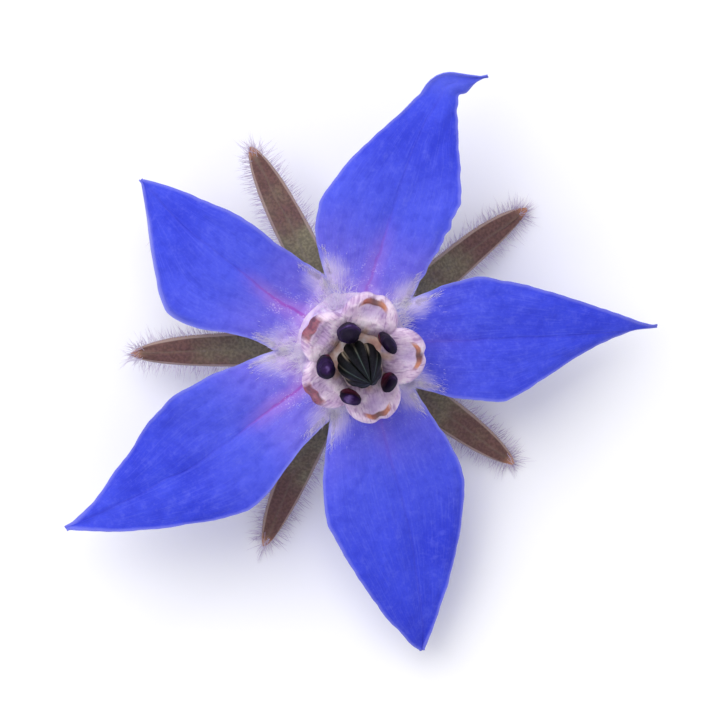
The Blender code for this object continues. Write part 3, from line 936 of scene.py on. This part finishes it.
# Sepals
# Five narrow fleshy blades under the gaps between the petals, olive at the root and brown towards an
# orange tip. Three of them bend down until their tips carry the flower. Bristles fringe them.
Sepal = namedtuple("Sepal", "reach turn droop")
SEPALS = (
    Sepal(8.9, -7.0, None),
    Sepal(8.4, 6.0, 1.9),
    Sepal(8.5, 3.5, 2.2),
    Sepal(9.3, -4.0, None),
    Sepal(8.8, -4.5, None),
)
SEPAL_FOOT = 1.68
SEPAL_ROOT = 1.05
SEPAL_HEIGHT = -1.25
SEPAL_HALF_WIDTH = 0.66
SEPAL_TAPER = 2.2
SEPAL_BLUNT = 0.62
SEPAL_BEND = 1.6
SEPAL_CHANNEL = 0.24
SEPAL_GROOVE = 0.02
SEPAL_GROOVE_WIDTH = 0.18
SEPAL_LUMPS = 0.05
SEPAL_TIP_HALF = 0.02
SEPAL_CELLS = (76, 26)
SEPAL_THICK = 0.5
SEPAL_EDGE = 0.4
SEPAL_RIM_SHARE = 0.16
MARGIN_HAIRS = 190
TUFT_HAIRS = 60
BACK_HAIRS = 240
BRISTLE_THICK = (0.011, 0.016)
HAIR_CLEAR = 0.06
TIP_HEIGHT = 0.27
FOOT_HEIGHT = FLOWER.translation.z / MM


def sepal_turn(index, sepal):
    """Where a sepal stands round the flower's axis."""
    return around(index + 0.5) + math.radians(sepal.turn)


def sepal_drop(index, sepal):
    """How far a sepal's tip lies below its root, which for a resting one is down to the table."""
    if sepal.droop is not None:
        return sepal.droop
    leaning = sepal.reach * math.sin(LEAN) * math.cos(sepal_turn(index, sepal) - LEAN_TOWARD)
    return SEPAL_HEIGHT - (TIP_HEIGHT - FOOT_HEIGHT + leaning) / math.cos(LEAN)


def sepal_point(index, sepal, share, across):
    """A point of the middle of a sepal, in the flower's frame, and its half width there."""
    radius = SEPAL_ROOT + (sepal.reach - SEPAL_ROOT) * share
    along = min(max((radius - SEPAL_FOOT) / (sepal.reach - SEPAL_FOOT), 0.0), 1.0)
    full = max(math.cos(math.pi / 2 * along**SEPAL_TAPER), 0.0) ** SEPAL_BLUNT
    width = SEPAL_HALF_WIDTH * full + SEPAL_TIP_HALF
    lift = SEPAL_HEIGHT - sepal_drop(index, sepal) * math.sin(math.pi / 2 * along) ** SEPAL_BEND
    lift += SEPAL_CHANNEL * across**2 * math.sin(math.pi * along)
    lift -= SEPAL_GROOVE * math.exp(-((across / SEPAL_GROOVE_WIDTH) ** 2)) * math.sin(math.pi * along)
    lift += SEPAL_LUMPS * noise.noise(Vector((share * 7, across * 1.5, index * 7)))
    point = Matrix.Rotation(sepal_turn(index, sepal), 3, "Z") @ Vector((radius, across * width, lift))
    return point, width


def sepal_blade(index, sepal):
    """A sepal as a grid bent to its form, with its plan kept for the finish."""
    bm = bmesh.new()
    plan = bm.verts.layers.float_vector.new("plan")
    made = bmesh.ops.create_grid(bm, x_segments=SEPAL_CELLS[0], y_segments=SEPAL_CELLS[1], size=0.5)
    for vert in made["verts"]:
        share = math.sin(math.pi / 2 * (vert.co.x + 0.5))
        across = math.sin(math.pi * vert.co.y)
        vert.co, width = sepal_point(index, sepal, share, across)
        vert[plan] = Vector((share, across * width, width * (1 - abs(across))))
    return bm


def sepal_finish(name, back):
    """Olive to reddish brown with a fine grain, a pale edge and an orange tip; the back has white dots."""
    skin = Finish(name, sheen_weight=0.1)
    share, offset, margin = skin.parts(skin.attribute("plan", "Vector"))
    clouds, grain = skin.lumps(700, 3), skin.lumps(9000, 3)
    ripe = skin.step(share + (clouds - 0.5) * 0.8, 0.3, 0.75)
    if back:
        green = skin.fade(grain, 0.4, 0.62, (58, 48, 44), (86, 74, 62))
        brown = skin.fade(grain, 0.4, 0.62, (60, 32, 46), (92, 56, 66))
        dots = skin.node("ShaderNodeTexVoronoi", {}, {"Vector": skin.place, "Scale": 3600.0}, "Distance")
        dots = skin.step(dots, 0.3, 0.18)
        colour = skin.coats(green, (ripe, brown), (dots * 0.75, (196, 184, 196)))
        relief = grain * 0.5 + dots * 0.5
    else:
        colour = skin.coats(
            skin.fade(grain, 0.36, 0.66, (104, 97, 70), (134, 125, 92)),
            (ripe, skin.fade(grain, 0.36, 0.66, (88, 56, 50), (112, 75, 68))),
            (skin.step(abs(offset), 0.16, 0.0) * 0.3, (130, 116, 96)),
            (skin.step(margin, 0.05, 0.015) * 0.6, (186, 162, 150)),
        )
        relief = grain
    colour = skin.mix(skin.step(share, 0.93, 0.995) * 0.8, colour, (196, 138, 104))
    skin.feed("Base Color", colour)
    skin.feed("Roughness", 0.55 + grain * 0.25)
    skin.bump(relief, 0.03 * MM, 0.5)
    return skin.material


def over_table(direction, up, height, length):
    """A hair's direction, raised if it would reach the table from this height."""
    lowest = (HAIR_CLEAR - height) / length
    if direction.dot(up) >= lowest:
        return direction
    flat = direction - up * direction.dot(up)
    return (flat.normalized() + up * max(lowest, -1.0)).normalized()


def sepal_bristles(index, sepal):
    """Bristles along both edges and over the back, and a tuft at the tip."""
    hairs = []
    up = FLOWER.to_3x3().inverted() @ Vector((0, 0, 1))
    out = Matrix.Rotation(sepal_turn(index, sepal), 3, "Z")

    def plant(share, across, rough, length):
        point, _ = sepal_point(index, sepal, share, across)
        height = (FLOWER @ (point * MM)).z / MM
        direction = over_table(out @ rough.normalized(), up, height, length)
        bend = out @ Vector((draw.gauss(0, 0.15), draw.gauss(0, 0.15), 0)) + up * draw.uniform(0, 0.1)
        hairs.append(Hair(point, direction, length, draw.uniform(*BRISTLE_THICK), bend))

    for side in (-1, 1):
        for step in range(MARGIN_HAIRS):
            share = 0.14 + 0.84 * (step + draw.random()) / MARGIN_HAIRS
            rough = Vector((draw.uniform(0.0, 0.7), side, draw.uniform(-0.7, 0.5)))
            plant(share, side * draw.uniform(0.86, 0.98), rough, draw.uniform(0.3, 0.8))
    for _ in range(TUFT_HAIRS):
        rough = Vector((1, draw.gauss(0, 0.6), draw.gauss(-0.1, 0.4)))
        plant(draw.uniform(0.9, 0.995), draw.uniform(-0.9, 0.9), rough, draw.uniform(0.4, 1.0))
    for _ in range(BACK_HAIRS):
        rough = Vector((draw.uniform(0.0, 0.9), draw.gauss(0, 0.5), -1))
        plant(draw.uniform(0.08, 0.97), draw.uniform(-0.9, 0.9), rough, draw.uniform(0.35, 0.7))
    return hairs


sepal_finishes = [sepal_finish("sepal_face", False), sepal_finish("sepal_back", True)]
bristle_white = hair_finish("bristle_white", (196, 180, 206), (232, 222, 238))
for number, sepal in enumerate(SEPALS):
    blade = sepal_blade(number, sepal)
    plan = blade.verts.layers.float_vector["plan"]
    thickness = []
    for vert in blade.verts:
        inside = math.sqrt(min(vert[plan].z / SEPAL_EDGE, 1.0)) * smoothly((1.0 - vert[plan].x) / 0.1)
        thickness.append(SEPAL_RIM_SHARE + (1 - SEPAL_RIM_SHARE) * inside)
    piece = settle(
        f"sepal_{number + 1}_blade", blade, FLOWER, sepal_finishes, walls(SEPAL_THICK), thickness
    )
    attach(piece, "root")
    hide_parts(f"sepal_{number + 1}")
    hairs = hair_form(sepal_bristles(number, sepal))
    bristles = settle(f"sepal_{number + 1}_bristles", hairs, FLOWER, [bristle_white])
    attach(bristles, "root")


# Stalk
# The maroon pedicel swells into the receptacle that holds the calyx. It bends down from under the
# flower, lies along the table, and ends where it was cut square.
STALK_RADIUS = 0.55
STALK_HEAD = ((-0.85, 1.25), (-1.2, 1.32), (-1.6, 1.12), (-2.0, 0.8))
STALK_TOWARD = math.radians(140)
STALK_LAID_AT = 3.9
STALK_END_AT = 9.2
STALK_SWING = math.radians(7)
STALK_GRIP = 0.45
STALK_NARROWS = 0.4
STALK_CELLS = (120, 44)
STALK_LUMPS = 0.05
STALK_RIBS = 0.02
STALK_AHEAD = 0.02
STALK_HAIRS = 900
STALK_HAIR_ROOT = 0.93
STALK_HAIR_LENGTH = (0.5, 1.1)
STALK_HAIR_THICK = (0.014, 0.021)
NEAR_TABLE = 0.15
CUT_RIM = 0.1
CUT_SUNK = 0.04
STAND = Matrix.Translation((FLOWER.translation.x, FLOWER.translation.y, 0))


def stalk_route():
    """Points and radii down the stalk, in millimetres from under the flower's foot."""
    lean = FLOWER.to_3x3()
    foot = Vector((0, 0, FOOT_HEIGHT))
    head = [foot + lean @ Vector((0, 0, z)) for z, _ in STALK_HEAD]
    down_axis = lean @ Vector((0, 0, -1))
    out = Vector((math.cos(STALK_TOWARD), math.sin(STALK_TOWARD), 0))
    end_out = Matrix.Rotation(STALK_SWING, 3, "Z") @ out
    laid = out * STALK_LAID_AT + Vector((0, 0, STALK_RADIUS))
    end = end_out * STALK_END_AT + Vector((0, 0, STALK_RADIUS))
    grip = STALK_LAID_AT * STALK_GRIP
    bend = interpolate_bezier(head[-1], head[-1] + down_axis * grip, laid - out * grip, laid, 12)
    run = interpolate_bezier(laid, laid + out * grip, end - end_out * grip, end, 8)
    points = head + bend[1:] + run[1:]
    radii = [radius for _, radius in STALK_HEAD]
    while len(radii) < len(points):
        radii.append(STALK_RADIUS + (radii[-1] - STALK_RADIUS) * STALK_NARROWS)
    return points, radii


route, route_radii = stalk_route()
STALK_ACROSS = Vector((-math.sin(STALK_TOWARD), math.cos(STALK_TOWARD), 0))


def stalk_widths(share, turn):
    """The stalk's radius, with low ribs and lumps."""
    lumps = noise.noise(Vector((share * 22, math.cos(turn) * 1.2, math.sin(turn) * 1.2)))
    radius = spaced(route_radii, share) * (1 + STALK_LUMPS * lumps + STALK_RIBS * math.cos(5 * turn))
    return radius, radius


def stalk_form():
    """The stalk as a tube, closed at both ends, with a sunk cut face and a flat side on the table."""
    bm = bmesh.new()
    tube_form(bm, route, STALK_CELLS, STALK_ACROSS, stalk_widths)
    ends = bmesh.ops.holes_fill(bm, edges=[edge for edge in bm.edges if edge.is_boundary], sides=0)["faces"]
    for face in ends:
        face.material_index = 1
    bmesh.ops.inset_individual(bm, faces=ends, thickness=CUT_RIM, depth=-CUT_SUNK)
    bmesh.ops.poke(bm, faces=ends)
    for vert in bm.verts:
        vert.co.z = max(vert.co.z, 0.0)
    bmesh.ops.recalc_face_normals(bm, faces=bm.faces[:])
    return bm


def stalk_finish():
    """Maroon with darker purple specks and a green tinge in places."""
    skin = Finish("stalk_maroon", sheen_weight=0.08)
    clouds, grain = skin.lumps(700, 3), skin.lumps(4200, 3)
    specks = skin.node("ShaderNodeTexVoronoi", {}, {"Vector": skin.place, "Scale": 4200.0}, "Distance")
    colour = skin.coats(
        skin.fade(grain, 0.36, 0.66, (78, 36, 52), (126, 76, 88)),
        (skin.step(clouds, 0.5, 0.75) * 0.5, (98, 80, 72)),
        (skin.step(specks, 0.34, 0.14) * 0.7, (42, 16, 38)),
    )
    skin.feed("Base Color", colour)
    skin.feed("Roughness", 0.5 + grain * 0.3)
    skin.bump(grain * 0.5 + clouds * 0.3 - skin.step(specks, 0.4, 0.1) * 0.3, 0.08 * MM, 0.8)
    return skin.material


def cut_finish():
    """The cut end: olive and damp, mottled with darker brown."""
    skin = Finish("stalk_cut", roughness=0.4)
    grain = skin.lumps(5000, 3)
    skin.feed("Base Color", skin.fade(grain, 0.35, 0.68, (70, 56, 34), (148, 134, 78)))
    skin.bump(grain, 0.08 * MM, 0.8)
    return skin.material


def stalk_bristles():
    """White bristles that spread from the stalk and its head, those near the table laid over it."""
    hairs = []
    for _ in range(STALK_HAIRS):
        share = draw.random()
        turn = draw.uniform(0, 2 * math.pi)
        ahead = heading(route, share, STALK_AHEAD)
        side = ahead.cross(STALK_ACROSS).normalized()
        outward = side * math.cos(turn) + ahead.cross(side).normalized() * math.sin(turn)
        root = spaced(route, share) + outward * spaced(route_radii, share) * STALK_HAIR_ROOT
        length = draw.uniform(*STALK_HAIR_LENGTH)
        rough = (outward + ahead.normalized() * draw.gauss(0, 0.25)).normalized()
        if root.z < NEAR_TABLE and rough.z < 0:
            continue
        direction = over_table(rough, Vector((0, 0, 1)), root.z, length)
        bend = Vector((draw.gauss(0, 0.12), draw.gauss(0, 0.12), draw.uniform(0.0, 0.12)))
        hairs.append(Hair(root, direction, length, draw.uniform(*STALK_HAIR_THICK), bend))
    return hairs


stalk = settle("stalk_and_receptacle", stalk_form(), STAND, [stalk_finish(), cut_finish()])
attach(stalk, "root")
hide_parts("pedicel")
stalk_hair = settle("stalk_bristles", hair_form(stalk_bristles()), STAND, [bristle_white])
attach(stalk_hair, "root")
